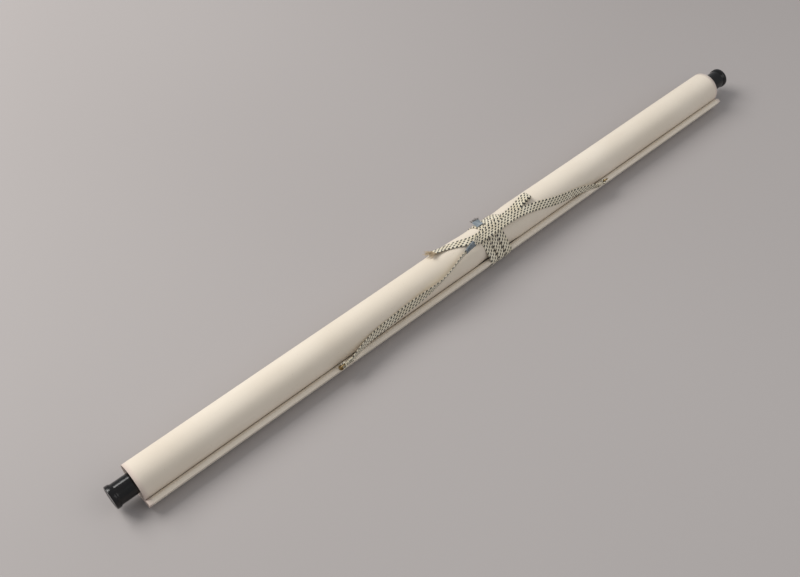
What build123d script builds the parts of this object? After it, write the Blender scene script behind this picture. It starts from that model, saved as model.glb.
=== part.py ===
from build123d import *
import math
import os

# A hanging scroll, rolled up and tied. Millimetres, +Z up, X along the roll.
# Every piece is built about the roll's own axis and put in its place at the end: the origin is then
# on the table, under the middle of the roll. Angles go round the axis: 0 is the back (+Y), 90 the
# top, 180 the front and 270 the table.

# Driving sizes
knob_length = 25.0
sheet_width = 781.0
roll_diameter = 37.0
rod_diameter = 19.5
flat_width = 6.0

end_drift = 3.7
glue_gap = 0.05

# Roller knobs, turned and lacquered, glued on the rod's tenons
knob_barrel_radius = 10.2
knob_rim_radius = 11.2
knob_rim_length = 3.4
knob_flare_length = 2.6
knob_edge_round = 0.8
knob_foot_chamfer = 0.5
tenon_diameter = 9.0
tenon_length = 14.0
socket_spare = 1.0

# Top stave, round-bellied, in the sleeve at the sheet's outer end
stave_angle = 204.0
stave_width = 10.0
stave_thickness = 5.6
stave_edge = 3.0
stave_inset = 0.8
stave_press = 0.1
sleeve_wall = 0.45

# Eyelets and their washers, in the stave's leading edge
eyelet_spacing = 367.0
eyelet_diameter = 7.0
eyelet_wire = 1.3
eyelet_neck = 0.7
shank_depth = 6.5
washer_diameter = 5.0
washer_thickness = 0.5
shank_gap = 0.02

# Flat braided cord, the same for the hanging cord and for the wrapping ribbon
cord_width = 9.0
cord_thickness = 0.7
cord_gap = 0.05
tie_loop_radius = 2.15
tie_strand_radius = 1.25
tie_length = 8.0
tie_width = 5.6
tie_height = 3.8
tie_gap = 0.3

# Three turns of the ribbon, side by side, sunk in the soft roll
turn_count = 3
turn_pitch = 10.0
turns_middle = 22.2
waist_depth = 1.05
waist_ramp = 26.0
binding_wall = 0.35

# Derived sizes
roll_radius = roll_diameter / 2
rod_radius = rod_diameter / 2
axis_height = math.sqrt(roll_radius**2 - (flat_width / 2) ** 2)
waist_radius = roll_radius - waist_depth
turns_length = (turn_count - 1) * turn_pitch + cord_width
turns_start = turns_middle - turns_length / 2
turns_end = turns_middle + turns_length / 2
overall_length = sheet_width + 2 * knob_length
outer_left = -sheet_width / 2 - end_drift
outer_right = sheet_width / 2 - end_drift
skin = sleeve_wall + glue_gap
stave_floor = roll_radius + skin - stave_press
stave_top = stave_floor + stave_thickness
eyelet_reach = stave_width / 2 + skin + washer_thickness + eyelet_neck + eyelet_diameter / 2
eyelet_lift = stave_top - stave_edge / 2
eyelet_ring_radius = (eyelet_diameter - eyelet_wire) / 2


def around(x, angle, distance):
    """The point at this angle and distance from the roll's axis."""
    turn = math.radians(angle)
    return Vector(x, distance * math.cos(turn), distance * math.sin(turn))


def stave_frame(x):
    """Plane across the roll at x: its X runs to the stave's leading edge, its Y outward."""
    turn = math.radians(stave_angle)
    return Plane(origin=(x, 0, 0), x_dir=(0, math.sin(turn), -math.cos(turn)), z_dir=(1, 0, 0))


def slab(outline, start, end):
    """A section in the stave's frame, drawn out along the roll."""
    return extrude(stave_frame(start) * outline, amount=end - start)


def stave_section():
    """Flat outer face, square edges and a round belly towards the roll."""
    half = stave_width / 2
    shoulder = stave_top - stave_edge
    outline = Polyline((half, shoulder), (half, stave_top), (-half, stave_top), (-half, shoulder))
    belly = ThreePointArc((-half, shoulder), (0, stave_floor), (half, shoulder))
    return make_face([outline, belly])


def touch_point(side, radius):
    """Where a sheet pulled tight from a corner of the stave meets a roll of this radius."""
    corner = math.atan2(side * stave_width / 2, stave_top)
    reach = math.hypot(stave_width / 2, stave_top)
    turn = corner + side * math.acos(radius / reach)
    return radius * math.sin(turn), radius * math.cos(turn)


def tight_outline(radius, sides):
    """A roll of this radius and the stave's face, with straight sheet between them on these sides."""
    half = stave_width / 2
    lead = touch_point(1, radius) if 1 in sides else (0, radius)
    trail = touch_point(-1, radius)
    corners = [(0, 0), trail, (-half, stave_top), (half, stave_top), lead]
    if 1 not in sides:
        corners = [(0, 0), trail, (-half, stave_top), (0, stave_top)]
    return Circle(radius) + make_face(Polyline(*corners, close=True))


def sheet_outline():
    """Section of the rolled sheet: its turns, the last one pulled straight to the stave, the sleeve
    round the stave, and the hollow that the straight sheet leaves open."""
    pulled = tight_outline(roll_radius - skin, [-1])
    sleeve = offset(stave_section(), amount=skin)
    hollow = offset(pulled, amount=glue_gap) - Circle(roll_radius + glue_gap) - sleeve
    hollow = hollow.faces().sort_by(SortBy.AREA)[-1]
    pocket = offset(stave_section(), amount=glue_gap)
    bore = Circle(rod_radius + glue_gap)
    return Circle(roll_radius) + offset(pulled, amount=skin) + sleeve - hollow - pocket - bore


def ring_cutter(*corners):
    """A ring turned about the roll's axis from a section in x and radius."""
    return revolve(make_face(Polyline(*corners, close=True)), axis=Axis.X)


def make_paper_roll():
    """All the turns as one solid, with the waist under the ribbon and the sleeve round the stave."""
    far = 2 * roll_radius
    face_radius = knob_barrel_radius + 2 * knob_foot_chamfer
    slope = (roll_radius - face_radius) / end_drift
    left = -sheet_width / 2
    right = sheet_width / 2
    groove = turns_start - cord_gap, turns_end + cord_gap
    body = slab(sheet_outline(), outer_left, right)
    cut_left = outer_left - 1
    body -= ring_cutter((cut_left, 0), (cut_left, roll_radius + slope), (left, face_radius), (left, 0))
    cut_right = right + 1
    cone_edge = (outer_right, roll_radius)
    body -= ring_cutter(
        (right, face_radius), cone_edge, (outer_right, far), (cut_right, far), (cut_right, face_radius)
    )
    tight = offset(tight_outline(waist_radius - skin, [-1, 1]), amount=skin)
    body -= slab(Circle(far) - tight, *groove)
    ridge = slab(offset(tight_outline(roll_radius - skin, [-1, 1]), amount=skin), outer_left, right)
    for edge, run in ((groove[0], -waist_ramp), (groove[1], waist_ramp)):
        ramp = ring_cutter((edge, waist_radius), (edge, far), (edge + run, far), (edge + run, roll_radius))
        body -= ramp - ridge
    floor = Pos(0, 0, -axis_height - roll_radius) * Box(2 * overall_length, 4 * roll_radius, 2 * roll_radius)
    body -= floor
    for x in eyelet_places():
        body -= eyelet_hole(x)
    return body


def make_roller_rod():
    """The round rod that the sheet is pasted to, with a tenon at each end."""
    rod = Cylinder(rod_radius, sheet_width)
    tenons = Cylinder(tenon_diameter / 2, sheet_width + 2 * tenon_length)
    return Rot(0, 90, 0) * (rod + tenons)


def make_knob(side):
    """A turned knob with a flared, rounded rim and a socket for the tenon."""
    socket = tenon_diameter / 2 + glue_gap
    depth = tenon_length + socket_spare
    rim_start = knob_length - knob_rim_length
    outline = Polyline(
        (0, socket),
        (0, knob_barrel_radius - knob_foot_chamfer),
        (knob_foot_chamfer, knob_barrel_radius),
        (rim_start - knob_flare_length, knob_barrel_radius),
        (rim_start, knob_rim_radius),
        (knob_length - knob_edge_round, knob_rim_radius),
    )
    edge = RadiusArc(
        (knob_length - knob_edge_round, knob_rim_radius),
        (knob_length, knob_rim_radius - knob_edge_round),
        knob_edge_round,
    )
    end = Polyline((knob_length, knob_rim_radius - knob_edge_round), (knob_length, 0), (depth, 0))
    bore = Polyline((depth, 0), (depth, socket), (0, socket))
    knob = Pos(sheet_width / 2, 0, 0) * revolve(make_face([outline, edge, end, bore]), axis=Axis.X)
    return knob if side > 0 else mirror(knob, about=Plane.YZ)


def make_top_stave():
    """The stave, with a blind hole for each eyelet's shank."""
    stave = slab(stave_section(), outer_left + stave_inset, outer_right - stave_inset)
    for x in eyelet_places():
        stave -= eyelet_hole(x)
    return stave


def eyelet_places():
    middle = (outer_left + outer_right) / 2
    return [middle - eyelet_spacing / 2, middle + eyelet_spacing / 2]


def shank_plane(x):
    """Plane square to a shank at the stave's leading edge; its Z runs out to the eyelet."""
    frame = stave_frame(x)
    origin = frame.from_local_coords((stave_width / 2, eyelet_lift, 0))
    return Plane(origin=origin, x_dir=(1, 0, 0), z_dir=frame.x_dir)


def eyelet_hole(x):
    radius = eyelet_wire / 2 + shank_gap
    length = shank_depth + skin + washer_thickness
    hole = Cylinder(radius, length, align=(Align.CENTER, Align.CENTER, Align.MIN))
    return shank_plane(x) * Pos(0, 0, -shank_depth - shank_gap) * hole


def make_eyelet(x):
    """A wire ring lying flat above the roll, with its closed legs driven into the stave."""
    shank_end = eyelet_reach - stave_width / 2 - eyelet_ring_radius
    shank = Cylinder(
        eyelet_wire / 2, shank_depth + shank_end, align=(Align.CENTER, Align.CENTER, Align.MIN)
    )
    ring = Torus(eyelet_ring_radius, eyelet_wire / 2)
    ring = Pos(0, 0, shank_end + eyelet_ring_radius) * Rot(90, 0, 0) * ring
    return shank_plane(x) * (Pos(0, 0, -shank_depth) * shank + ring)


def make_washer(x):
    disc = Cylinder(washer_diameter / 2, washer_thickness) - Cylinder(
        eyelet_wire / 2 + shank_gap, washer_thickness
    )
    return shank_plane(x) * Pos(0, 0, skin + washer_thickness / 2) * disc


def tie_frame(x, inward):
    """Plane through an eyelet's ring at the side that the cord pulls on; its X runs inward."""
    frame = stave_frame(x)
    centre = frame.from_local_coords((eyelet_reach, eyelet_lift, 0))
    pull = centre + Vector(inward * eyelet_ring_radius, 0, 0)
    return Plane(origin=pull, x_dir=(inward, 0, 0), z_dir=frame.x_dir)


def make_cord_tie(x, inward):
    """The cord's end, looped through the eyelet and tied back on itself."""
    loop = Torus(tie_loop_radius, tie_strand_radius)
    knot = Box(tie_length, tie_height, tie_width, align=(Align.MIN, Align.CENTER, Align.CENTER))
    knot = fillet(knot.edges(), 1.2)
    knot = Pos(tie_loop_radius - tie_strand_radius / 2, 0, 0) * knot
    clear = Cylinder(eyelet_wire / 2 + cord_gap, 3 * tie_width)
    return tie_frame(x, inward) * (loop + (knot - clear))


def tie_face(x, inward):
    """Where the cord's arm starts, just clear of the tie's inner face."""
    reach = tie_loop_radius - tie_strand_radius / 2 + tie_length + tie_gap
    return tie_frame(x, inward).from_local_coords((reach, 0, 0))


def flat_cord(stations, extra=0.0, side_of=None, fold=None):
    """A flat cord through stations of x, angle, distance from the axis, share of its width and
    lean about its own line. Its width lies round the roll where the lean is 0. A fold is the number
    of the station where the cord doubles back."""
    points = [around(x, angle, distance) for x, angle, distance, _, _ in stations]
    sections = []
    for i, (_, angle, _, share, lean) in enumerate(stations):
        along = (points[min(i + 1, len(points) - 1)] - points[max(i - 1, 0)]).normalized()
        side = side_of if side_of else around(0, angle + 90, 1)
        across = (side - along * side.dot(along)).normalized()
        over = along.cross(across)
        turn = math.radians(lean)
        across = across * math.cos(turn) + over * math.sin(turn)
        place = Plane(origin=points[i], x_dir=across, z_dir=along)
        thickness = cord_thickness / share
        sections.append(place * Rectangle(cord_width * share + extra, thickness + extra))
    if fold is None:
        return loft(sections, ruled=True)
    return loft(sections[: fold + 1], ruled=True) + loft(sections[fold:], ruled=True)


def as_station(point, share):
    """A free point as a station, with no lean."""
    angle = math.degrees(math.atan2(point.Z, point.Y)) % 360
    return point.X, angle, math.hypot(point.Y, point.Z), share, 0


# Routes, chosen by hand: x, angle, distance from the axis, share of the width, lean
left_arm = [
    (-160.0, 173.5, 21.8, 0.8, 0),
    (-142.0, 169.5, 19.5, 1.0, 0),
    (-120.0, 165.5, 19.1, 1.0, 0),
    (-98.0, 160.0, 19.4, 1.0, 0),
    (-80.0, 155.0, 20.7, 1.0, 18),
    (-66.0, 151.0, 22.0, 0.85, 45),
    (-53.0, 147.0, 22.3, 0.7, 70),
    (-39.0, 137.5, 22.3, 0.7, 80),
    (-28.0, 128.5, 22.3, 0.7, 80),
]
bound_arm = [
    (-18.0, 122.0, 22.4, 0.7, 80),
    (-10.0, 117.5, 22.5, 0.7, 72),
    (-3.0, 114.5, 22.6, 0.7, 50),
]
over_tie = [
    (4.0, 112.5, 21.4, 0.85, 15),
    (16.0, 112.0, 20.9, 1.0, 0),
    (31.0, 112.5, 20.9, 1.0, 0),
    (46.0, 112.5, 21.1, 1.0, 0),
    (57.0, 113.5, 21.3, 1.0, 0),
]
right_arm = [
    (67.0, 118.0, 20.9, 1.0, 0),
    (77.0, 123.0, 19.6, 1.0, 0),
    (88.0, 131.0, 19.1, 1.0, 0),
    (99.0, 141.0, 19.1, 1.0, 0),
    (110.0, 151.0, 19.1, 1.0, 0),
    (124.0, 160.0, 19.1, 1.0, 0),
    (140.0, 168.0, 19.5, 1.0, 0),
    (154.0, 173.5, 21.8, 0.8, 0),
]
bow_route = [
    (28.0, 103.0, 18.75, 1.0, 0),
    (42.0, 101.0, 18.95, 1.0, 0),
    (56.0, 98.0, 19.0, 1.0, 0),
    (69.0, 92.0, 19.1, 1.0, 0),
    (78.0, 88.0, 19.2, 1.0, 0),
    (83.2, 86.5, 19.8, 1.0, 0),
    (85.3, 86.0, 21.2, 1.0, 0),
    (83.4, 86.0, 22.7, 1.0, 0),
    (78.0, 87.0, 22.9, 1.0, 0),
    (71.0, 90.0, 21.4, 1.0, 0),
    (62.0, 95.0, 19.9, 1.0, 0),
    (42.0, 101.0, 19.75, 1.0, 0),
    (22.0, 104.0, 19.7, 1.0, 0),
]
bow_fold = 6
tail_route = [
    bow_route[-1],
    (8.0, 106.0, 19.5, 1.0, 0),
    (-2.0, 102.0, 19.2, 1.0, 0),
    (-10.0, 92.5, 19.1, 1.0, 0),
    (-18.0, 81.0, 19.1, 1.0, 0),
    (-26.0, 70.5, 19.2, 1.0, 0),
    (-34.0, 64.5, 20.0, 1.0, 0),
    (-41.0, 64.0, 21.6, 1.0, 0),
]
tab_route = [
    (19.0, 74.0, 18.75, 1.0, 0),
    (19.0, 65.0, 18.9, 1.0, 0),
    (19.5, 56.0, 20.0, 1.0, 0),
    (20.0, 50.5, 22.0, 1.0, 0),
]


def make_hanging_cord():
    places = eyelet_places()
    start = as_station(tie_face(places[0], 1), 0.6)
    end = as_station(tie_face(places[1], -1), 0.6)
    return flat_cord([start] + left_arm + bound_arm + over_tie + right_arm + [end])


def make_binding():
    """Thread whipped round the cord where the ribbon is sewn to it."""
    return flat_cord(bound_arm, 2 * (binding_wall + cord_gap)) - flat_cord(bound_arm, 2 * cord_gap)


def make_ribbon_turns():
    """The outer shape of the turns, pulled tight over the roll and the stave's ridge."""
    core = tight_outline(waist_radius - skin, [-1, 1])
    inner = offset(core, amount=skin + cord_gap)
    outer = offset(core, amount=skin + cord_gap + cord_thickness)
    return slab(outer - inner, turns_start, turns_end)


def tightest_bend(stations):
    """Radius of the sharpest bend, as an arc that takes 0.45 of the shorter run at its corner."""
    points = [around(*station[:3]) for station in stations]
    radii = []
    for before, here, after in zip(points, points[1:], points[2:]):
        turn = math.radians((here - before).get_angle(after - here))
        run = min((here - before).length, (after - here).length)
        radii.append(0.45 * run / math.tan(turn / 2))
    return min(radii)


def make_pieces():
    left_eyelet, right_eyelet = eyelet_places()
    return {
        "paper_roll": make_paper_roll(),
        "roller_rod": make_roller_rod(),
        "roller_knob_left": make_knob(-1),
        "roller_knob_right": make_knob(1),
        "top_stave": make_top_stave(),
        "eyelet_left": make_eyelet(left_eyelet),
        "eyelet_right": make_eyelet(right_eyelet),
        "eyelet_washer_left": make_washer(left_eyelet),
        "eyelet_washer_right": make_washer(right_eyelet),
        "hanging_cord": make_hanging_cord(),
        "hanging_cord_tie_left": make_cord_tie(left_eyelet, 1),
        "hanging_cord_tie_right": make_cord_tie(right_eyelet, -1),
        "cord_binding": make_binding(),
        "wrapping_ribbon_turns": make_ribbon_turns(),
        "wrapping_ribbon_bow": flat_cord(bow_route, fold=bow_fold),
        "wrapping_ribbon_tail": flat_cord(tail_route),
        "wrapping_ribbon_tab": flat_cord(tab_route, side_of=Vector(1, 0, 0)),
    }


os.makedirs("parts", exist_ok=True)
pieces = make_pieces()
own_pieces = [piece for name, piece in pieces.items() if "cord" not in name and "ribbon" not in name]
own_box = Compound(children=[copy for piece in own_pieces for copy in piece.solids()]).bounding_box()
place = Pos(0, -own_box.center().Y, axis_height)
for name, piece in pieces.items():
    export_step(place * piece, f"parts/{name}.step")
for name, route in {"bow": bow_route, "tail": tail_route, "left arm": left_arm + bound_arm}.items():
    print(f"{name}: tightest bend {tightest_bend(route):.1f} mm")
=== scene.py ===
import math

import bpy
import numpy as np
from mathutils import Matrix, Vector


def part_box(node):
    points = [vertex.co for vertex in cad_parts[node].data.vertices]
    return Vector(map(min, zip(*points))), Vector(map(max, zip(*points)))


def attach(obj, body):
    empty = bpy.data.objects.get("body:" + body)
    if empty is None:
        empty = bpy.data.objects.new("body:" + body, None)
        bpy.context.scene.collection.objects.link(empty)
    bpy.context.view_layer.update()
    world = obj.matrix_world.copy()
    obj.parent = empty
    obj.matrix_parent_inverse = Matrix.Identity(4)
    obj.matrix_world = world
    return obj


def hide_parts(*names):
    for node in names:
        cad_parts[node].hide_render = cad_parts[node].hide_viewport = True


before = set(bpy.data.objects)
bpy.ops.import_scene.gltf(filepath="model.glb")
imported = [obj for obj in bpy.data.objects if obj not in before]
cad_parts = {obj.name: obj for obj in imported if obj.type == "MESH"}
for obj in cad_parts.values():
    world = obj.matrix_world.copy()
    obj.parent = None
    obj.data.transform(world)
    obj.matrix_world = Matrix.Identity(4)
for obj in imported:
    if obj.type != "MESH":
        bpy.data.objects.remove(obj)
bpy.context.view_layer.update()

MM = 0.001
scene = bpy.context.scene
rod_low, rod_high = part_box("roller_rod")
AXIS_Y = (rod_low[1] + rod_high[1]) / 2
AXIS_Z = (rod_low[2] + rod_high[2]) / 2
roll_low, roll_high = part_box("paper_roll")
ROLL_RADIUS = roll_high[2] - AXIS_Z
LEFT_END = roll_low[0]
INNER_RIGHT = roll_high[0]
END_DRIFT = -LEFT_END - INNER_RIGHT
RIGHT_END = INNER_RIGHT - END_DRIFT
ROD_RADIUS = (rod_high[2] - rod_low[2]) / 2
WAIST_RADIUS = ROLL_RADIUS - 1.05 * MM
STAVE_ANGLE = math.radians(204)
STAVE_HALF = 5.0 * MM
STAVE_TOP = ROLL_RADIUS + 6.0 * MM
CORD_WIDTH = 9.0 * MM
CORD_THICK = 0.7 * MM


def around(x, angle, distance):
    """The point at this angle (degrees; 0 back, 90 top, 180 front) and distance from the roll's axis."""
    turn = math.radians(angle)
    return Vector((x, AXIS_Y + distance * math.cos(turn), AXIS_Z + distance * math.sin(turn)))


# ---------------------------------------------------------------- camera
camera = bpy.data.objects.new("camera", bpy.data.cameras.new("camera"))
scene.collection.objects.link(camera)
camera.data.sensor_width = 36.0
camera.data.lens = 41.98
right = Vector((0.75093, -0.66018, -0.01624)).normalized()
back = -Vector((0.41281, 0.48846, -0.76876)).normalized()
up = back.cross(right).normalized()
camera.matrix_world = Matrix.Translation(
    (-0.4649, AXIS_Y - 0.4391, AXIS_Z + 0.7055)
) @ Matrix((right, up, back)).transposed().to_4x4()
scene.camera = camera


# ---------------------------------------------------------------- node helpers
def new_material(name):
    """A material with its tree and its Principled shader."""
    material = bpy.data.materials.new(name)
    material.use_nodes = True
    tree = material.node_tree
    return material, tree, tree.nodes["Principled BSDF"]


def add(tree, kind, **values):
    node = tree.nodes.new(kind)
    for key, value in values.items():
        setattr(node, key, value)
    return node


def maths(tree, operation, first, second=None):
    """A math node; its inputs are sockets or plain numbers."""
    node = add(tree, "ShaderNodeMath", operation=operation)
    for socket, value in zip(node.inputs, (first, second)):
        if isinstance(value, (int, float)):
            socket.default_value = value
        elif value is not None:
            tree.links.new(value, socket)
    return node.outputs[0]


def noise(tree, scale, detail=3.0, stretch=(1, 1, 1)):
    """Noise on the piece's own coordinates, stretched along its axes; scale is per metre."""
    coordinates = add(tree, "ShaderNodeTexCoord")
    mapping = add(tree, "ShaderNodeMapping")
    mapping.inputs["Scale"].default_value = stretch
    tree.links.new(coordinates.outputs["Object"], mapping.inputs["Vector"])
    node = add(tree, "ShaderNodeTexNoise")
    node.inputs["Scale"].default_value = scale
    node.inputs["Detail"].default_value = detail
    tree.links.new(mapping.outputs[0], node.inputs["Vector"])
    return node.outputs["Fac"]


def ramp(tree, value, *stops):
    """Colours over a value: stops are (place, colour)."""
    node = add(tree, "ShaderNodeValToRGB")
    elements = node.color_ramp.elements
    while len(elements) < len(stops):
        elements.new(0.5)
    for element, (place, colour) in zip(elements, stops):
        element.position = place
        element.color = (*colour, 1)
    tree.links.new(value, node.inputs["Fac"])
    return node.outputs["Color"]


def mix(tree, mask, first, second):
    """First colour where the mask is 0, second where it is 1."""
    node = add(tree, "ShaderNodeMix", data_type="RGBA")
    tree.links.new(mask, node.inputs["Factor"])
    for socket, value in ((node.inputs[6], first), (node.inputs[7], second)):
        if isinstance(value, tuple):
            socket.default_value = (*value, 1)
        else:
            tree.links.new(value, socket)
    return node.outputs[2]


def bump(tree, shader, height, strength, distance):
    node = add(tree, "ShaderNodeBump")
    node.inputs["Strength"].default_value = strength
    node.inputs["Distance"].default_value = distance
    tree.links.new(height, node.inputs["Height"])
    tree.links.new(node.outputs["Normal"], shader.inputs["Normal"])


def fibre_group():
    """Node group: fine fibre height and a slow tone that paper, thread and wood share."""
    tree = bpy.data.node_groups.new("fibre", "ShaderNodeTree")
    for name, default in (("Fine Scale", 900.0), ("Slow Scale", 14.0), ("Grain Stretch", 6.0)):
        socket = tree.interface.new_socket(name, in_out="INPUT", socket_type="NodeSocketFloat")
        socket.default_value = default
    tree.interface.new_socket("Height", in_out="OUTPUT", socket_type="NodeSocketFloat")
    tree.interface.new_socket("Tone", in_out="OUTPUT", socket_type="NodeSocketFloat")
    entry = add(tree, "NodeGroupInput")
    leave = add(tree, "NodeGroupOutput")
    coordinates = add(tree, "ShaderNodeTexCoord")
    stretch = add(tree, "ShaderNodeCombineXYZ")
    stretch.inputs["X"].default_value = 1.0
    tree.links.new(entry.outputs["Grain Stretch"], stretch.inputs["Y"])
    tree.links.new(entry.outputs["Grain Stretch"], stretch.inputs["Z"])
    scaled = add(tree, "ShaderNodeVectorMath", operation="MULTIPLY")
    tree.links.new(coordinates.outputs["Object"], scaled.inputs[0])
    tree.links.new(stretch.outputs[0], scaled.inputs[1])
    for vector, scale, output in (
        (scaled.outputs[0], "Fine Scale", "Height"),
        (coordinates.outputs["Object"], "Slow Scale", "Tone"),
    ):
        node = add(tree, "ShaderNodeTexNoise")
        node.inputs["Detail"].default_value = 4.0
        tree.links.new(vector, node.inputs["Vector"])
        tree.links.new(entry.outputs[scale], node.inputs["Scale"])
        tree.links.new(node.outputs["Fac"], leave.inputs[output])
    return tree


FIBRE = fibre_group()


def fibre(tree, fine, slow, stretch):
    node = add(tree, "ShaderNodeGroup", node_tree=FIBRE)
    for name, value in (("Fine Scale", fine), ("Slow Scale", slow), ("Grain Stretch", stretch)):
        node.inputs[name].default_value = value
    return node.outputs["Height"], node.outputs["Tone"]


# ---------------------------------------------------------------- materials
def make_sheet_paper():
    """Warm mounting paper: slow tone, long fibres, a few darker flecks, toned towards the ends, with painted
    shade in the gaps between turns on the roll's end faces.
    """
    material, tree, shader = new_material("mounting_paper")
    height, tone = fibre(tree, 420.0, 9.0, 3.0)
    colour = ramp(tree, tone, (0.3, (0.73, 0.645, 0.53)), (0.7, (0.80, 0.72, 0.61)))
    streaks = ramp(tree, noise(tree, 60.0, 4.0, (0.35, 1, 1)), (0.42, (0, 0, 0)), (0.75, (0.22, 0.22, 0.22)))
    colour = mix(tree, streaks, colour, (0.66, 0.57, 0.46))
    flecks = ramp(tree, noise(tree, 650.0, 1.0), (0.74, (0, 0, 0)), (0.80, (0.45, 0.45, 0.45)))
    colour = mix(tree, flecks, colour, (0.50, 0.41, 0.31))
    # edge colour: the paper's own toned ends, and on the roll's end faces also painted shade that darkens the
    # gaps between turns
    edge = add(tree, "ShaderNodeAttribute", attribute_name="edge_toning_and_gap_shade")
    colour = mix(tree, edge.outputs["Fac"], colour, (0.70, 0.57, 0.51))
    tree.links.new(colour, shader.inputs["Base Color"])
    rough = maths(tree, "MULTIPLY_ADD", height, 0.2)
    tree.links.new(maths(tree, "ADD", rough, 0.6), shader.inputs["Roughness"])
    shader.inputs["Specular IOR Level"].default_value = 0.3
    shader.inputs["Sheen Weight"].default_value = 0.15
    bump(tree, shader, height, 0.35, 0.00012)
    return material


def make_lacquer():
    """Black lacquer over turned wood: faint rings, small dust marks, a clear coat."""
    material, tree, shader = new_material("black_lacquer")
    dust = noise(tree, 700.0, 2.0)
    slow = noise(tree, 90.0, 3.0)
    colour = ramp(tree, slow, (0.3, (0.0025, 0.0025, 0.003)), (0.8, (0.006, 0.005, 0.005)))
    tree.links.new(colour, shader.inputs["Base Color"])
    marks = ramp(tree, dust, (0.55, (0.16, 0.16, 0.16)), (0.75, (0.34, 0.34, 0.34)))
    tree.links.new(marks, shader.inputs["Roughness"])
    shader.inputs["Specular IOR Level"].default_value = 0.32
    shader.inputs["Coat Weight"].default_value = 0.15
    shader.inputs["Coat Roughness"].default_value = 0.1
    rings = noise(tree, 400.0, 2.0, (3.0, 0.4, 0.4))
    bump(tree, shader, rings, 0.12, 0.00008)
    return material


def make_wood():
    """Planed softwood with its grain along the piece."""
    material, tree, shader = new_material("rod_wood")
    height, tone = fibre(tree, 160.0, 30.0, 9.0)
    grain = ramp(tree, height, (0.35, (0.42, 0.27, 0.14)), (0.65, (0.62, 0.45, 0.27)))
    tree.links.new(mix(tree, tone, grain, (0.55, 0.39, 0.23)), shader.inputs["Base Color"])
    rough = maths(tree, "MULTIPLY", height, 0.2)
    tree.links.new(maths(tree, "ADD", rough, 0.5), shader.inputs["Roughness"])
    bump(tree, shader, height, 0.4, 0.0002)
    return material


def make_brass():
    """Aged brass wire, darker in patches."""
    material, tree, shader = new_material("aged_brass")
    patches = noise(tree, 600.0, 4.0)
    colour = ramp(tree, patches, (0.35, (0.20, 0.13, 0.06)), (0.65, (0.52, 0.38, 0.17)))
    tree.links.new(colour, shader.inputs["Base Color"])
    shader.inputs["Metallic"].default_value = 1.0
    rough = maths(tree, "MULTIPLY", patches, 0.35)
    tree.links.new(maths(tree, "ADD", rough, 0.2), shader.inputs["Roughness"])
    bump(tree, shader, patches, 0.2, 0.0001)
    return material


def make_braid(name):
    """Flat silk braid: slanted plaits, with staggered dark dashes in four rows."""
    material, tree, shader = new_material(name)
    along = add(tree, "ShaderNodeAttribute", attribute_name="along_mm").outputs["Fac"]
    across = add(tree, "ShaderNodeAttribute", attribute_name="across").outputs["Fac"]
    inner = maths(tree, "MINIMUM", maths(tree, "MAXIMUM", across, -0.88), 0.88)
    rows = maths(tree, "MULTIPLY", maths(tree, "ADD", inner, 1.0), 2.0)
    row = maths(tree, "FLOOR", rows)
    in_row = maths(tree, "SUBTRACT", maths(tree, "FRACT", rows), 0.5)
    odd = maths(tree, "MODULO", row, 2.0)
    slant = maths(tree, "MULTIPLY", in_row, 0.42)
    wander = maths(tree, "MULTIPLY", noise(tree, 260.0, 1.0), 0.35)
    place = maths(tree, "ADD", maths(tree, "DIVIDE", along, 4.5), maths(tree, "MULTIPLY", odd, 0.5))
    place = maths(tree, "FRACT", maths(tree, "ADD", maths(tree, "ADD", place, slant), wander))
    off_dash = maths(tree, "MULTIPLY", maths(tree, "SUBTRACT", place, 0.5), 3.7)
    off_row = maths(tree, "MULTIPLY", in_row, 2.75)
    far = maths(tree, "ADD", maths(tree, "POWER", maths(tree, "ABSOLUTE", off_dash), 3.0),
                maths(tree, "POWER", maths(tree, "ABSOLUTE", off_row), 3.0))
    dash = ramp(tree, far, (0.75, (1, 1, 1)), (1.25, (0, 0, 0)))
    tone = noise(tree, 120.0, 3.0)
    ground = ramp(tree, tone, (0.3, (0.76, 0.67, 0.49)), (0.7, (0.90, 0.83, 0.66)))
    dark = ramp(tree, noise(tree, 90.0, 2.0), (0.35, (0.009, 0.008, 0.007)), (0.7, (0.020, 0.026, 0.019)))
    colour = mix(tree, dash, ground, dark)
    plait = maths(tree, "SINE", maths(tree, "MULTIPLY", along, 5.6))
    columns = maths(tree, "SINE", maths(tree, "MULTIPLY", across, 25.1))
    crossing = maths(tree, "MULTIPLY", plait, columns)
    shade = ramp(tree, maths(tree, "ADD", maths(tree, "MULTIPLY", crossing, 0.5), 0.5),
                 (0.0, (0.84, 0.83, 0.81)), (0.6, (1, 1, 1)))
    product = add(tree, "ShaderNodeMix", data_type="RGBA", blend_type="MULTIPLY")
    product.inputs["Factor"].default_value = 1.0
    tree.links.new(colour, product.inputs[6])
    tree.links.new(shade, product.inputs[7])
    tree.links.new(product.outputs[2], shader.inputs["Base Color"])
    tree.links.new(maths(tree, "ADD", maths(tree, "MULTIPLY", tone, 0.2), 0.5), shader.inputs["Roughness"])
    shader.inputs["Sheen Weight"].default_value = 0.3
    bump(tree, shader, crossing, 0.6, 0.00015)
    return material


def make_thread(name, low, high):
    """Fine wound or loose silk thread between two colours."""
    material, tree, shader = new_material(name)
    height, tone = fibre(tree, 500.0, 220.0, 2.0)
    tree.links.new(ramp(tree, tone, (0.35, low), (0.65, high)), shader.inputs["Base Color"])
    tree.links.new(maths(tree, "ADD", maths(tree, "MULTIPLY", height, 0.2), 0.5), shader.inputs["Roughness"])
    shader.inputs["Sheen Weight"].default_value = 0.4
    bump(tree, shader, height, 0.5, 0.0001)
    return material


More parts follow.
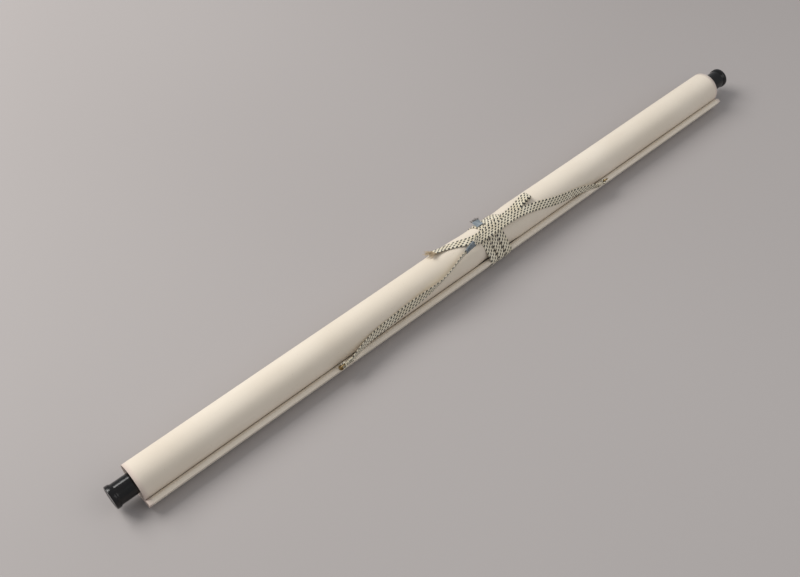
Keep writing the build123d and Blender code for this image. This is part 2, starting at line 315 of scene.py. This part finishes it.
PAPER = make_sheet_paper()
LACQUER = make_lacquer()
WOOD = make_wood()
BRASS = make_brass()
BRAID = make_braid("flat_braid")
THREAD = make_thread("binding_thread", (0.12, 0.155, 0.18), (0.26, 0.30, 0.33))
FRAY = make_thread("frayed_silk", (0.50, 0.38, 0.23), (0.72, 0.60, 0.42))
DARK_FRAY = make_thread("dark_silk", (0.03, 0.025, 0.02), (0.10, 0.08, 0.06))


# ---------------------------------------------------------------- mesh helpers
def new_piece(name, vertices, faces, material, nodes=(), smooth=True):
    """A mesh piece on the root body, with its finish and the CAD nodes it stands for."""
    mesh = bpy.data.meshes.new(name)
    mesh.from_pydata([tuple(v) for v in vertices], [], faces)
    mesh.polygons.foreach_set("use_smooth", [smooth] * len(mesh.polygons))
    mesh.materials.append(material)
    mesh.update()
    piece = bpy.data.objects.new(name, mesh)
    scene.collection.objects.link(piece)
    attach(piece, "root")
    if nodes:
        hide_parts(*nodes)
    return piece


def put_values(piece, name, values):
    attribute = piece.data.attributes.new(name, "FLOAT", "POINT")
    attribute.data.foreach_set("value", np.asarray(values, dtype=np.float32))


def grid_faces(rows, columns):
    """Quads over rows of points, where each row closes on itself."""
    faces = []
    for row in range(rows - 1):
        for column in range(columns):
            here, there = row * columns, (row + 1) * columns
            beside = (column + 1) % columns
            faces.append((here + column, there + column, there + beside, here + beside))
    return faces


def spline_points(points):
    """Points along the NURBS spline with these control points."""
    data = bpy.data.curves.new("route", "CURVE")
    data.dimensions = "3D"
    spline = data.splines.new("NURBS")
    spline.points.add(len(points) - 1)
    for control, point in zip(spline.points, points):
        control.co = (*point, 1)
    spline.order_u = 3
    spline.use_endpoint_u = True
    data.resolution_u = 12
    holder = bpy.data.objects.new("route", data)
    mesh = bpy.data.meshes.new_from_object(holder)
    line = np.array([v.co for v in mesh.vertices])
    bpy.data.objects.remove(holder)
    bpy.data.curves.remove(data)
    bpy.data.meshes.remove(mesh)
    return line


def read_route(stations):
    """Centreline, side directions and width shares, all read from splines of one route."""
    route = [around(x * MM, angle, distance * MM) for x, angle, distance, _, _ in stations]
    sides = []
    for i, (_, angle, _, _, lean) in enumerate(stations):
        along = (route[min(i + 1, len(route) - 1)] - route[max(i - 1, 0)]).normalized()
        round_roll = around(0, angle + 90, 1) - around(0, angle, 0)
        if isinstance(lean, tuple):
            side = Vector(lean)
            side = (side - along * side.dot(along)).normalized()
        else:
            side = (round_roll - along * round_roll.dot(along)).normalized()
            over = along.cross(side)
            tip = math.radians(lean * LEAN_SHARE)
            side = side * math.cos(tip) + over * math.sin(tip)
        sides.append(side)
    line = spline_points(route)
    beside = spline_points([p + s * 0.01 for p, s in zip(route, sides)])
    shares = spline_points([Vector((s[3], 0, 0)) for s in stations])[:, 0]
    return resample(line, beside - line, shares)


def resample(line, sides, shares, step=0.5 * MM):
    """The same route with points an even step apart."""
    lengths = np.concatenate([[0], np.cumsum(np.linalg.norm(np.diff(line, axis=0), axis=1))])
    places = np.linspace(0, lengths[-1], max(4, int(lengths[-1] / step)))
    pick = [np.interp(places, lengths, column) for column in (*line.T, *sides.T, shares)]
    line, sides, shares = np.array(pick[:3]).T, np.array(pick[3:6]).T, pick[6]
    along = np.gradient(line, axis=0)
    along /= np.linalg.norm(along, axis=1)[:, None]
    sides = sides - along * (sides * along).sum(1)[:, None]
    sides /= np.linalg.norm(sides, axis=1)[:, None]
    return line, sides, np.cross(along, sides), shares, places


def braid_strip(name, route, material, nodes, half=12):
    """A flat braid along a route, with rounded edges, plaits in relief and notched edges."""
    line, sides, overs, shares, places = route
    across = np.cos(np.linspace(0, math.pi, half + 1))
    loop = np.concatenate([across, -across[1:-1]])
    face = np.concatenate([np.ones(half + 1), -np.ones(half - 1)])
    thick = np.sqrt(np.clip(1 - np.abs(loop) ** 5, 0, 1))
    millimetres = places / MM
    notch = 1 + 0.022 * np.cos(2 * math.pi * millimetres / 1.12)
    plait = np.sin(5.6 * millimetres)[:, None] * np.sin(25.1 * loop)[None, :]
    lift = face * thick * (CORD_THICK / 2 / shares)[:, None] * (1 + 0.14 * plait)
    width = CORD_WIDTH / 2 * (shares * notch)[:, None] * loop[None, :]
    points = line[:, None] + sides[:, None] * width[..., None] + overs[:, None] * lift[..., None]
    count = len(loop)
    faces = grid_faces(len(line), count)
    faces += [tuple(range(count)), tuple((len(line) - 1) * count + i for i in reversed(range(count)))]
    piece = new_piece(name, points.reshape(-1, 3), faces, material, nodes)
    put_values(piece, "along_mm", np.repeat(millimetres, count))
    put_values(piece, "across", np.tile(loop, len(line)) * 0.999)
    return piece


def tube(name, line, radius, material, sides=6, nodes=()):
    """A round thread along points."""
    line = np.asarray(line)
    along = np.gradient(line, axis=0)
    along /= np.linalg.norm(along, axis=1)[:, None]
    first = np.cross(along, np.array([0.31, 0.87, 0.38]))
    first /= np.linalg.norm(first, axis=1)[:, None]
    second = np.cross(along, first)
    turn = np.linspace(0, 2 * math.pi, sides, endpoint=False)
    ring = first[:, None] * np.cos(turn)[None, :, None] + second[:, None] * np.sin(turn)[None, :, None]
    points = line[:, None] + ring * radius
    faces = grid_faces(len(line), sides)
    faces += [tuple(range(sides)), tuple((len(line) - 1) * sides + i for i in reversed(range(sides)))]
    return new_piece(name, points.reshape(-1, 3), faces, material, nodes)


# ---------------------------------------------------------------- routes
# x, angle, distance from the axis (mm, degrees, mm), share of the width, lean about the cord's line
LEFT_ARM = [
    (-174.9, 180.0, 25.2, 0.6, 0),
    (-160.0, 173.5, 21.8, 0.8, 0),
    (-142.0, 169.5, 19.5, 1.0, 0),
    (-120.0, 165.5, 19.1, 1.0, 0),
    (-98.0, 160.0, 19.4, 1.0, 0),
    (-80.0, 155.0, 20.7, 1.0, 18),
    (-66.0, 151.0, 22.0, 0.85, 45),
    (-53.0, 147.0, 22.3, 0.7, 70),
    (-39.0, 137.5, 22.3, 0.7, 80),
    (-28.0, 128.5, 22.3, 0.7, 80),
]
BOUND_ARM = [
    (-18.0, 122.0, 22.4, 0.7, 80),
    (-10.0, 117.5, 22.5, 0.7, 72),
    (-3.0, 114.5, 22.6, 0.7, 50),
]
OVER_TIE = [
    (4.0, 112.5, 21.4, 0.85, 15),
    (16.0, 112.0, 20.9, 1.0, 0),
    (31.0, 112.5, 20.9, 1.0, 0),
    (46.0, 112.5, 21.1, 1.0, 0),
    (57.0, 113.5, 21.3, 1.0, 0),
]
RIGHT_ARM = [
    (67.0, 118.0, 20.9, 1.0, 0),
    (77.0, 123.0, 19.6, 1.0, 0),
    (88.0, 131.0, 19.1, 1.0, 0),
    (99.0, 141.0, 19.1, 1.0, 0),
    (110.0, 151.0, 19.1, 1.0, 0),
    (124.0, 160.0, 19.1, 1.0, 0),
    (140.0, 168.0, 19.5, 1.0, 0),
    (154.0, 173.5, 21.8, 0.8, 0),
    (167.6, 180.0, 25.2, 0.6, 0),
]
BOW = [
    (56.0, 98.0, 19.0, 1.0, 0),
    (69.0, 92.0, 19.1, 1.0, 0),
    (78.0, 88.0, 19.2, 1.0, 0),
    (83.2, 86.5, 19.8, 1.0, 0),
    (85.3, 86.0, 21.2, 1.0, 0),
    (83.4, 86.0, 22.7, 1.0, 0),
    (78.0, 87.0, 22.9, 1.0, 0),
    (71.0, 90.0, 21.4, 1.0, 0),
    (62.0, 95.0, 19.9, 1.0, 0),
    (42.0, 101.0, 19.9, 1.0, 0),
    (22.0, 104.0, 19.9, 1.0, 0),
]
TAIL = [
    (8.0, 106.0, 19.5, 1.0, 0),
    (-2.0, 102.0, 19.2, 1.0, 0),
    (-10.0, 92.5, 19.1, 1.0, 0),
    (-18.0, 81.0, 19.1, 1.0, 0),
    (-26.0, 70.5, 19.2, 1.0, 0),
    (-34.0, 64.5, 20.0, 1.0, 0),
    (-41.0, 64.0, 21.6, 1.0, 0),
]
ALONG_X = (1.0, 0.0, 0.0)
TURN_START = 9.5
TURN_PITCH = 10.0
POINTS_PER_TURN = 48
LEAN_SHARE = 0.74


def tight_distance(angle, radius, top):
    """Distance from the axis of a line pulled tight over a roll and the stave's ridge."""
    turn = math.radians(angle) - STAVE_ANGLE
    turn = (turn + math.pi) % (2 * math.pi) - math.pi
    half = STAVE_HALF + top - STAVE_TOP
    corner = math.atan2(half, top)
    reach = math.hypot(half, top)
    touch = corner + math.acos(radius / reach)
    if abs(turn) <= corner:
        return top / math.cos(turn)
    if abs(turn) < touch:
        return radius / math.cos(touch - abs(turn))
    return radius


def turn_stations():
    """Three turns of the ribbon: down the front, under, up the back and over the top."""
    radius = WAIST_RADIUS + 0.05 * MM + CORD_THICK / 2
    top = STAVE_TOP + 0.5 * MM + CORD_THICK / 2 + 0.25 * MM
    step = 360 / POINTS_PER_TURN
    stations = []
    for i in range(int(3 * POINTS_PER_TURN - 50 / step)):
        angle = 104 + i * step
        distance = tight_distance(angle, radius, top) / math.cos(math.radians(step / 2)) / MM
        x = TURN_START + TURN_PITCH * i / POINTS_PER_TURN
        stations.append((x, angle, distance, 1.0, ALONG_X))
    return stations


def towards_bow():
    """The ribbon leaves the third turn on top of the roll and swings along it."""
    return [
        (38.6, 70.0, 18.0, 1.0, (1.0, 0.1, 0.0)),
        (39.6, 82.0, 18.4, 0.95, (0.9, 0.35, 0.0)),
        (42.0, 92.0, 18.9, 0.9, (0.65, 0.75, 0.0)),
        (47.0, 97.5, 19.1, 0.95, (0.25, 1.0, 0.0)),
    ]


def facing_bow(stations):
    """Bow and tail stations with their width towards the back, as the swing leaves it."""
    return [(x, a, d, w, tuple(around(0, a - 90, 1) - around(0, a, 0))) for x, a, d, w, _ in stations]


# ---------------------------------------------------------------- cords
hanging_route = read_route(LEFT_ARM + BOUND_ARM + OVER_TIE + RIGHT_ARM)
hanging_cord = braid_strip("hanging_cord_braid", hanging_route, BRAID, ["hanging_cord"])

ribbon_stations = turn_stations() + towards_bow() + facing_bow(BOW) + facing_bow(TAIL)
ribbon_route = read_route(ribbon_stations)
wrapping_ribbon = braid_strip(
    "wrapping_ribbon_braid", ribbon_route, BRAID,
    ["wrapping_ribbon_turns", "wrapping_ribbon_bow", "wrapping_ribbon_tail"],
)


def make_fray(name, tip, outward, spread, material, count, length, seed):
    """Loose silk ends that fan out of a cut braid, as one piece."""
    rng = np.random.default_rng(seed)
    vertices, faces = [], []
    outward = np.asarray(outward) / np.linalg.norm(outward)
    up_way = np.cross(outward, spread)
    for i in range(count):
        place = rng.uniform(-0.5, 0.5)
        start = np.asarray(tip) + np.asarray(spread) * place * CORD_WIDTH * 0.9 - outward * 1.0 * MM
        fan = spread * place * 1.2 + up_way * rng.uniform(-0.35, 0.5) + spread * rng.uniform(-0.3, 0.3)
        bend = spread * rng.uniform(-0.6, 0.6) + up_way * rng.uniform(-0.5, 0.5)
        reach = length * rng.uniform(0.55, 1.0)
        t = np.linspace(0, 1, 9)[:, None]
        line = start + (outward + fan * 0.5) * reach * t + bend * reach * 0.5 * t**2
        along = np.gradient(line, axis=0)
        along /= np.linalg.norm(along, axis=1)[:, None]
        first = np.cross(along, up_way)
        first /= np.linalg.norm(first, axis=1)[:, None]
        second = np.cross(along, first)
        base = len(vertices)
        for point, a, b, k in zip(line, first, second, np.linspace(1, 0.45, 9)):
            for turn in range(5):
                swing = turn * 2 * math.pi / 5
                vertices.append(point + (a * math.cos(swing) + b * math.sin(swing)) * 0.19 * MM * k)
        faces += [tuple(base + n for n in face) for face in grid_faces(9, 5)]
        faces += [tuple(base + n for n in range(5)), tuple(base + 40 + n for n in reversed(range(5)))]
    return new_piece(name, vertices, faces, material)


line, sides, _, _, ribbon_places = ribbon_route
tail_way = line[-1] - line[-8]
tail_fray = make_fray("tail_fray", line[-1], tail_way, sides[-1], FRAY, 120, 10.0 * MM, 4)

tab_line = [(20.0, 72.0, 18.9), (20.0, 64.0, 19.3), (20.0, 57.0, 20.6), (20.3, 52.0, 22.4)]
tab_route = read_route([(x, a, d, 0.95, ALONG_X) for x, a, d in tab_line])
tab = braid_strip("sewn_tab", tab_route, THREAD, ["wrapping_ribbon_tab"])
tab_way = tab_route[0][-1] - tab_route[0][-6]
tab_fray = make_fray("tab_fray", tab_route[0][-1], tab_way, tab_route[1][-1], DARK_FRAY, 60, 4.2 * MM, 9)

h_line, h_sides, h_overs, _, h_places = hanging_route


def make_binding():
    """One thread wound 26 times round the flat cord."""
    inside = np.where((h_line[:, 0] > -17.5 * MM) & (h_line[:, 0] < -3.5 * MM))[0]
    t = np.linspace(0, 1, 900)
    index = np.interp(t, [0, 1], [inside[0], inside[-1]])
    known = np.arange(len(h_line))
    columns = (*h_line.T, *h_sides.T, *h_overs.T)
    picks = [np.interp(index, known, column) for column in columns]
    centre, side, over = (np.array(picks[k:k + 3]).T for k in (0, 3, 6))
    turn = t * 2 * math.pi * 26
    wide = CORD_WIDTH / 2 * 0.68 * np.sign(np.cos(turn)) * np.abs(np.cos(turn)) ** 0.55
    tall = (CORD_THICK * 0.8 + 0.25 * MM) * np.sign(np.sin(turn)) * np.abs(np.sin(turn)) ** 0.55
    path = centre + side * wide[:, None] + over * tall[:, None]
    return tube("cord_binding_thread", path, 0.27 * MM, THREAD, 6, ["cord_binding"])


binding = make_binding()


def eyelet_ring_centre(name):
    """Middle of an eyelet's ring, and the stave's leading and outward directions."""
    low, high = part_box(name)
    reach, lift = 10.2 * MM, 23.1 * MM
    lead = Vector((0, math.sin(STAVE_ANGLE), -math.cos(STAVE_ANGLE)))
    out = Vector((0, math.cos(STAVE_ANGLE), math.sin(STAVE_ANGLE)))
    return Vector(((low[0] + high[0]) / 2, AXIS_Y, AXIS_Z)) + lead * reach + out * lift, lead, out


def make_tie(name, node, eyelet, inward):
    """The cord's end: a loop through the ring, a core, and four and a half turns round it."""
    centre, lead, out = eyelet_ring_centre(eyelet)
    ring = 2.85 * MM
    pull = centre + Vector((inward * ring, 0, 0))
    t = np.linspace(0, 1, 260)
    turn = t * 2 * math.pi * 4.5
    x = inward * (3.4 * MM + 6.6 * MM * t)
    path = (
        np.array(pull)
        + np.outer(x, (1, 0, 0))
        + np.outer(1.75 * MM * np.cos(turn), np.array(lead))
        + np.outer(1.25 * MM * np.sin(turn), np.array(out))
    )
    turn = np.linspace(math.pi * 0.97, -math.pi * 0.97, 60)
    loop = (
        np.array(pull)
        + np.outer(inward * -2.0 * MM * np.cos(turn + math.pi), (1, 0, 0))
        + np.outer(2.0 * MM * np.sin(turn), np.array(out))
    )
    core = np.array(pull) + np.outer(inward * np.linspace(2.2 * MM, 12.0 * MM, 30), (1, 0, 0))
    knot = tube(name, path, 0.85 * MM, BRAID, 8, [node])
    strand = tube(name + "_loop", loop, 1.05 * MM, BRAID, 8)
    middle = tube(name + "_core", core, 1.25 * MM, BRAID, 10)
    for piece, points in ((knot, path), (strand, loop), (middle, core)):
        sides_here = len(piece.data.vertices) // len(points)
        steps = np.concatenate([[0], np.cumsum(np.linalg.norm(np.diff(points, axis=0), axis=1))]) / MM
        put_values(piece, "along_mm", np.repeat(steps, sides_here))
        put_values(piece, "across", np.tile(np.linspace(-0.95, 0.95, sides_here), len(points)))
    return [knot, strand, middle]


left_tie = make_tie("cord_tie_left", "hanging_cord_tie_left", "eyelet_left", 1)
right_tie = make_tie("cord_tie_right", "hanging_cord_tie_right", "eyelet_right", -1)


# ---------------------------------------------------------------- paper roll
WAIST_LOW, WAIST_HIGH = 4.5 * MM, 41.5 * MM
TURN_THICK = 0.4 * MM


def pinch(x, angle):
    """How deep the ribbon pinches the roll here, from 0 to 1, with soft uneven shoulders."""
    ramp_length = 24 * MM * (1 + 0.22 * math.sin(3 * angle + 0.7) + 0.12 * math.sin(7 * angle))
    away = max(WAIST_LOW - x, x - WAIST_HIGH, 0) / ramp_length
    return 0.5 + 0.5 * math.cos(math.pi * min(away, 1))


def skin_radius(x, angle):
    """The roll's outside: the last turn's spiral, the pinch, slow waves and the flat spot."""
    seam = math.radians(260)
    spiral = TURN_THICK * (((angle - seam) % (2 * math.pi)) / (2 * math.pi))
    wave = 0.07 * math.sin(9.1 * x / 0.39 + 1.3 * math.sin(angle)) + 0.05 * math.sin(2 * angle + 17 * x)
    radius = ROLL_RADIUS - spiral * 0.5 - 0.13 * MM + wave * MM
    radius -= (radius - WAIST_RADIUS + 0.03 * MM) * pinch(x, angle)
    down = -math.sin(angle)
    if down > 0.9:
        radius = min(radius, AXIS_Z / down)
    return radius


AROUND = np.linspace(0, 2 * math.pi, 128, endpoint=False)
TURN_COUNT = int((ROLL_RADIUS - ROD_RADIUS) / TURN_THICK)


def on_section(x, radius, angle):
    return (x, AXIS_Y + radius * math.cos(angle), AXIS_Z + radius * math.sin(angle))


def edge_rings(rng):
    """Where each turn's edge is, how far it stands out and its tone, from the skin inward; the flush gaps
    between raised edges get the higher tone, which is painted shade.
    """
    rings = []
    for turn in range(TURN_COUNT):
        stand = (0.2 + rng.uniform(-0.16, 0.16)) * MM
        # tone 1.0 in the flush gaps and 0.85 on the raised edges: the darker gaps are painted shade
        rings.append((turn, 0.0, 1.0))
        rings.append((turn + 0.25, stand, 0.85))
        rings.append((turn + 0.75, stand, 0.85))
        rings.append((turn + 0.97, 0.0, 1.0))
    return rings


def edge_row(x_outer, way, place, stand):
    """One ring of an end face: the spiral closes in on the rod as the end drifts along it."""
    x = x_outer + way * stand + END_DRIFT * place / TURN_COUNT
    points = []
    for angle in AROUND:
        inward = min(place + angle / (2 * math.pi), TURN_COUNT + 0.4)
        radius = skin_radius(x_outer, angle) - 0.05 * MM - inward * TURN_THICK * 0.95
        points.append(on_section(x, max(radius, ROD_RADIUS + 0.06 * MM), angle))
    return points


def make_paper_roll():
    """Outer skin and both spiral ends of the rolled sheet, as one surface."""
    fine = np.arange(WAIST_LOW - 34 * MM, WAIST_HIGH + 34 * MM, 1.2 * MM)
    coarse_left = np.linspace(LEFT_END + 0.25 * MM, fine[0] - 4 * MM, 70)
    coarse_right = np.linspace(fine[-1] + 4 * MM, RIGHT_END - 0.25 * MM, 70)
    stations = np.concatenate([coarse_left, fine, coarse_right])
    rng = np.random.default_rng(11)
    rows, toning_and_gap_shade = [], []
    for place, stand, tone in reversed(edge_rings(rng)):
        rows.append(edge_row(stations[0], -1, place, stand))
        toning_and_gap_shade.append(tone)
    for x in stations:
        rows.append([on_section(x, skin_radius(x, angle), angle) for angle in AROUND])
        near = min(x - stations[0], stations[-1] - x)
        toning_and_gap_shade.append(0.9 * math.exp(-near / (1.2 * MM)) + 0.12 * math.exp(-near / (25 * MM)))
    for place, stand, tone in edge_rings(rng):
        rows.append(edge_row(stations[-1], 1, place, stand))
        toning_and_gap_shade.append(tone)
    points = np.array(rows).reshape(-1, 3)
    faces = grid_faces(len(rows), len(AROUND))
    piece = new_piece("paper_roll_turns", points, faces, PAPER, ["paper_roll"])
    put_values(piece, "edge_toning_and_gap_shade", np.repeat(toning_and_gap_shade, len(AROUND)) * 0.8)


make_paper_roll()


def to_row(x, lead, out):
    """A point in the stave's own section, as a point in the row's frame."""
    s, c = math.sin(STAVE_ANGLE), math.cos(STAVE_ANGLE)
    return (x, AXIS_Y + lead * s + out * c, AXIS_Z - lead * c + out * s)


def sleeve_line(radius):
    """Middle line of the sheet's last stretch: off the roll, round the stave and back to itself."""
    wall = 0.5 * MM
    half, top = STAVE_HALF, STAVE_TOP
    corner = math.atan2(-half, top)
    reach = math.hypot(half, top)
    inner = radius - wall
    touch = corner - math.acos(inner / reach)
    line = [(radius * 0.985 * math.sin(touch - d), radius * 0.985 * math.cos(touch - d)) for d in (0.5, 0.3)]
    mid = wall * 0.52
    for d in (0.12, 0.0):
        line.append(((inner + mid) * math.sin(touch - d), (inner + mid) * math.cos(touch - d)))
    for share in (0.25, 0.5, 0.75, 0.96):
        start = np.array([inner * math.sin(touch), inner * math.cos(touch)])
        end = np.array([-half, top])
        p = start + (end - start) * share + mid * np.array([math.sin(touch), math.cos(touch)])
        line.append(tuple(p))
    for turn in np.linspace(touch * 0.7, 0, 4):
        line.append((-half + mid * math.sin(turn), top + mid * math.cos(turn)))
    line.append((0, top + mid))
    for turn in np.linspace(0, math.pi / 2, 6):
        line.append((half + mid * math.sin(turn), top + mid * math.cos(turn)))
    shoulder = top - 3.0 * MM
    line.append((half + mid, shoulder))
    belly = 2.6 * MM
    curve = (half**2 + belly**2) / (2 * belly)
    limit = math.asin(half / curve)
    for turn in np.linspace(limit * 0.95, -limit * 0.9, 9):
        drop = shoulder - belly + curve - (curve + mid) * math.cos(turn)
        line.append(((curve + mid) * math.sin(turn), drop))
    return np.array(line), mid * 0.92


def make_sleeve():
    """The sheet's outer end: pulled straight off the roll and pasted round the stave."""
    fine = np.arange(WAIST_LOW - 34 * MM, WAIST_HIGH + 34 * MM, 2.0 * MM)
    stations = np.concatenate([
        np.linspace(LEFT_END + 0.02 * MM, fine[0] - 4 * MM, 60), fine,
        np.linspace(fine[-1] + 4 * MM, RIGHT_END - 0.02 * MM, 60),
    ])
    rows, tone = [], []
    for x in stations:
        squeeze = pinch(x, math.radians(255))
        line, wall = sleeve_line(ROLL_RADIUS - (ROLL_RADIUS - WAIST_RADIUS) * squeeze)
        along = np.gradient(line, axis=0)
        along /= np.linalg.norm(along, axis=1)[:, None]
        normal = np.stack([-along[:, 1], along[:, 0]], 1)
        loop = np.concatenate([line + normal * wall, (line - normal * wall)[::-1]])
        rows.append([to_row(x, *p) for p in loop])
        tone.append(0.9 * math.exp(-min(x - stations[0], stations[-1] - x) / (1.2 * MM)))
    count = len(rows[0])
    rows = np.array(rows)
    rows[:, :, 2] = np.maximum(rows[:, :, 2], 0.0)
    faces = grid_faces(len(rows), count)
    last = (len(rows) - 1) * count
    for k in range(count // 2 - 1):
        other = count - 1 - k
        faces.append((k, k + 1, other - 1, other))
        faces.append((last + k, last + other, last + other - 1, last + k + 1))
    piece = new_piece("paper_roll_sleeve", rows.reshape(-1, 3), faces, PAPER, ["paper_roll"])
    put_values(piece, "edge_toning_and_gap_shade", np.repeat(tone, count))
    return piece


make_sleeve()


# ---------------------------------------------------------------- knobs and other hard pieces
# Radius and depth of the knob's shallow end, from the edge inward, mm
DISHED_END = (
    (9.6, 0.02), (9.2, 0.30), (8.6, 0.42), (6.0, 0.30), (3.0, 0.20), (0.6, 0.16), (0.02, 0.16),
)


def make_knob(name, node, way):
    """A turned, lacquered knob: foot, long barrel, flared rim, soft edge and a shallow dished end."""
    low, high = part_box(node)
    foot = low[0] if way > 0 else high[0]
    length = high[0] - low[0]
    barrel, rim = 10.2 * MM, (high[2] - low[2]) / 2
    profile = [(0.0, 9.0 * MM), (0.0, barrel - 0.5 * MM), (0.15 * MM, barrel - 0.15 * MM), (0.5 * MM, barrel)]
    flare = length - 6.0 * MM
    profile += [(0.5 * MM + (flare - 0.5 * MM) * t, barrel) for t in (0.25, 0.5, 0.75, 0.96)]
    for t in np.linspace(0, 1, 9):
        profile.append((flare + 2.6 * MM * t, barrel + (rim - barrel) * (3 * t**2 - 2 * t**3)))
    edge = 0.8 * MM
    profile.append((length - edge - 0.8 * MM, rim))
    for t in np.linspace(0, math.pi / 2, 8):
        profile.append((length - edge + edge * math.sin(t), rim - edge + edge * math.cos(t)))
    for radius, dish in DISHED_END:
        profile.append((length - dish * MM, radius * MM))
    turns = np.linspace(0, 2 * math.pi, 96, endpoint=False)
    points = [on_section(foot + way * x, radius, t) for x, radius in profile for t in turns]
    new_piece(name, points, grid_faces(len(profile), len(turns)), LACQUER, [node])


make_knob("left_knob", "roller_knob_left", -1)
make_knob("right_knob", "roller_knob_right", 1)


def make_eyelet(name, node):
    """A ring of round wire with its two closed legs side by side."""
    centre, lead, out = eyelet_ring_centre(node)
    turns = np.linspace(0, 2 * math.pi, 49)
    ring_radius = 2.85 * MM
    ring = (
        np.array(centre)
        + np.outer(ring_radius * np.cos(turns), (1, 0, 0))
        + np.outer(ring_radius * np.sin(turns), np.array(lead))
    )
    tube(name + "_ring", ring, 0.64 * MM, BRASS, 14, [node])
    for side in (-1, 1):
        start = np.array(centre) - np.array(lead) * ring_radius + np.array((side * 0.33 * MM, 0, 0))
        leg = start - np.outer(np.linspace(-0.2 * MM, 6.5 * MM, 12), np.array(lead))
        tube(name + ("_leg_a" if side < 0 else "_leg_b"), leg, 0.32 * MM, BRASS, 10)


make_eyelet("left_eyelet", "eyelet_left")
make_eyelet("right_eyelet", "eyelet_right")

for node, material in (
    ("roller_rod", WOOD), ("top_stave", WOOD), ("eyelet_washer_left", BRASS), ("eyelet_washer_right", BRASS),
):
    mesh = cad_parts[node].data
    mesh.materials.clear()
    mesh.materials.append(material)


# ---------------------------------------------------------------- floor and light
def make_floor():
    """A plain pale floor, the same in reflections as to the camera."""
    mesh = bpy.data.meshes.new("floor")
    size = 6.0
    corners = [(-size, -size, 0), (size, -size, 0), (size, size, 0), (-size, size, 0)]
    mesh.from_pydata(corners, [], [(0, 1, 2, 3)])
    material, tree, shader = new_material("floor_grey")
    slow = noise(tree, 0.8, 2.0)
    tree.links.new(
        ramp(tree, slow, (0.3, (0.385, 0.355, 0.345)), (0.7, (0.43, 0.40, 0.39))), shader.inputs["Base Color"]
    )
    shader.inputs["Roughness"].default_value = 0.8
    mesh.materials.append(material)
    floor = bpy.data.objects.new("floor", mesh)
    scene.collection.objects.link(floor)


def add_lamp(name, place, aim, size, power, colour=(1, 1, 1)):
    data = bpy.data.lights.new(name, "AREA")
    data.shape = "RECTANGLE"
    data.size, data.size_y = size
    data.energy = power
    data.color = colour
    lamp = bpy.data.objects.new(name, data)
    scene.collection.objects.link(lamp)
    lamp.location = place
    lamp.rotation_euler = (Vector(aim) - Vector(place)).to_track_quat("-Z", "Y").to_euler()


make_floor()
add_lamp("window", (-0.9, 1.5, 1.7), (0, 0, 0), (1.6, 1.2), 50, (1.0, 0.985, 0.96))
add_lamp("fill", (0.9, -1.4, 1.6), (0, 0, 0), (1.8, 1.4), 9, (1.0, 0.98, 0.96))
world = bpy.data.worlds.new("studio")
scene.world = world
world.use_nodes = True
world.node_tree.nodes["Background"].inputs["Color"].default_value = (0.9, 0.92, 0.95, 1)
world.node_tree.nodes["Background"].inputs["Strength"].default_value = 0.42
scene.view_settings.view_transform = "Standard"
